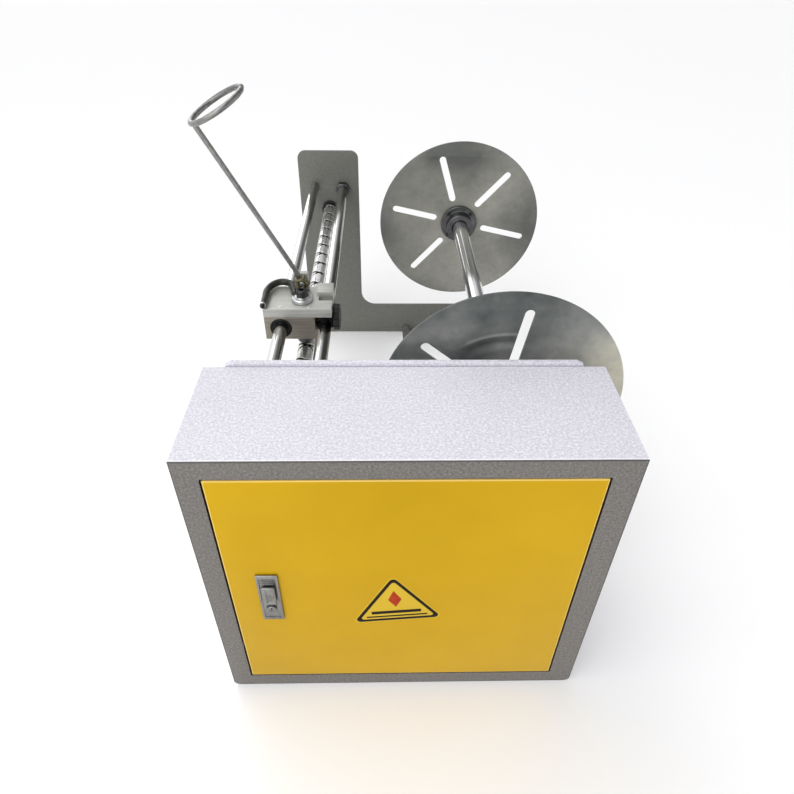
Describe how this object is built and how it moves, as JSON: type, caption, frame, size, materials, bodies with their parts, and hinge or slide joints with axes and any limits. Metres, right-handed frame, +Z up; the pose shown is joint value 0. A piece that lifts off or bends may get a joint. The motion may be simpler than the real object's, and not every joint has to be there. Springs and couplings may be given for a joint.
{
  "type": "motorised take-up winder",
  "caption": "Control cabinet with a yellow door driving a cantilevered twin-flange take-up spool and a reciprocating-screw yarn traverse with a wire guide arm.",
  "frame": {"origin": "centre of the cabinet's underside, on the floor", "axes": "+Z up, +Y from the door towards the end plate, +X to the spool's side"},
  "size_m": [0.4734, 0.7921, 0.5823],
  "materials": {
    "box_paint": "satin speckled powder coat",
    "door_paint": "semi-gloss",
    "plate_steel": "satin",
    "galvanised": "spangled, satin",
    "chrome": "polished",
    "dark_steel": "blackened",
    "zinc": "zinc plated",
    "aluminium": "milled",
    "black_plastic": "moulded",
    "rubber": "matt",
    "motor_paint": "satin",
    "controller_case": "moulded",
    "terminal_green": "moulded",
    "arm_wire": "drawn wire"
  },
  "bodies": {
    "frame": {"enclosure_shell": "box_paint", "hinge_pin_lower": "zinc", "hinge_pin_upper": "zinc", "rear_plate": "box_paint", "end_plate": "plate_steel", "left_guide_rod": "chrome", "right_guide_rod": "chrome", "lower_tie_rod": "chrome", "left_guide_rod_end_bolt": "zinc", "left_guide_rod_box_bolt": "zinc", "right_guide_rod_end_bolt": "zinc", "right_guide_rod_box_bolt": "zinc", "lower_tie_rod_end_bolt": "zinc", "lower_tie_rod_box_bolt": "zinc", "right_rod_nut": "dark_steel", "outer_bearing_housing": "dark_steel", "outer_bearing": "zinc", "inner_bearing_housing": "dark_steel", "inner_bearing": "zinc", "screw_box_bearing": "dark_steel", "screw_end_bearing": "dark_steel", "drive_belt": "rubber", "traverse_belt": "rubber", "motor": "motor_paint", "gearbox": "motor_paint", "motor_bracket": "zinc", "speed_controller": "controller_case", "terminal_strip": "terminal_green", "cable_gland": "black_plastic"},
    "door": {"enclosure_door": "door_paint", "lock_plate": "zinc"},
    "latch": {"lock_handle": "zinc", "lock_cam": "zinc"},
    "key": {"key_cylinder": "zinc"},
    "spool": {"spool_shaft": "chrome", "near_flange": "galvanised", "near_hub": "dark_steel", "spool_pulley": "aluminium"},
    "far_disc": {"far_flange": "galvanised", "far_hub": "dark_steel", "far_set_screw": "dark_steel"},
    "screw": {"reciprocating_screw": "chrome", "screw_pulley": "aluminium"},
    "motor_rotor": {"motor_pulley": "aluminium"},
    "carriage": {"carriage_plate": "aluminium", "carriage_block": "aluminium", "linear_bearing": "black_plastic", "guide_shoe": "black_plastic", "pawl_housing": "dark_steel", "pawl_washer": "zinc", "pawl_screw": "dark_steel", "clamp_block": "aluminium", "arm_stud": "zinc"},
    "pawl": {"traverse_pawl": "zinc"},
    "lever": {"release_lever": "black_plastic"},
    "grip_knob": {"carriage_knob": "black_plastic"},
    "arm": {"guide_arm": "arm_wire"},
    "arm_nut": {"arm_knob": "dark_steel"}
  },
  "joints": [
    {"name": "door_hinge", "type": "hinge", "parent": "frame", "child": "door", "pos_m": [0.1604, -0.0625, 0.185], "axis": [0, 0, 1], "range_deg": [0, 100]},
    {"name": "latch_turn", "type": "hinge", "parent": "door", "child": "latch", "pos_m": [-0.137, -0.07, 0.1875], "axis": [0, 1, 0], "range_deg": [0, 90]},
    {"name": "key_turn", "type": "hinge", "parent": "door", "child": "key", "pos_m": [-0.137, -0.07, 0.1625], "axis": [0, 1, 0], "range_deg": [0, 90]},
    {"name": "spool_spin", "type": "hinge", "parent": "frame", "child": "spool", "pos_m": [0.11, 0, 0.292], "axis": [0, 1, 0], "continuous": true},
    {"name": "far_disc_slide", "type": "slide", "parent": "spool", "child": "far_disc", "axis": [0, 1, 0], "range_m": [-0.4, 0]},
    {"name": "screw_spin", "type": "hinge", "parent": "frame", "child": "screw", "pos_m": [-0.122, 0, 0.275], "axis": [0, 1, 0], "continuous": true},
    {"name": "motor_spin", "type": "hinge", "parent": "frame", "child": "motor_rotor", "pos_m": [0.062, 0, 0.106], "axis": [0, 1, 0], "continuous": true},
    {"name": "carriage_slide", "type": "slide", "parent": "frame", "child": "carriage", "axis": [0, 1, 0], "range_m": [-0.13, 0.41]},
    {"name": "pawl_swivel", "type": "hinge", "parent": "carriage", "child": "pawl", "pos_m": [-0.122, 0.24, 0.29], "axis": [0, 0, 1], "range_deg": [-25, 25]},
    {"name": "lever_turn", "type": "hinge", "parent": "carriage", "child": "lever", "pos_m": [-0.122, 0.24, 0.348], "axis": [0, 0, 1], "range_deg": [0, 30]},
    {"name": "grip_knob_turn", "type": "hinge", "parent": "carriage", "child": "grip_knob", "pos_m": [-0.08, 0.24, 0.322], "axis": [1, 0, 0], "range_deg": [-180, 180]},
    {"name": "arm_tilt", "type": "hinge", "parent": "carriage", "child": "arm", "pos_m": [-0.1223, 0.2605, 0.3613], "axis": [0, 1, 0], "range_deg": [-25, 60]},
    {"name": "arm_nut_turn", "type": "hinge", "parent": "carriage", "child": "arm_nut", "pos_m": [-0.1223, 0.2535, 0.3613], "axis": [0, 1, 0], "range_deg": [-180, 180]}
  ],
  "couplings": [
    {"joint": "motor_spin", "follows": "spool_spin", "ratio": 1.7},
    {"joint": "screw_spin", "follows": "spool_spin", "ratio": 0.66667}
  ]
}
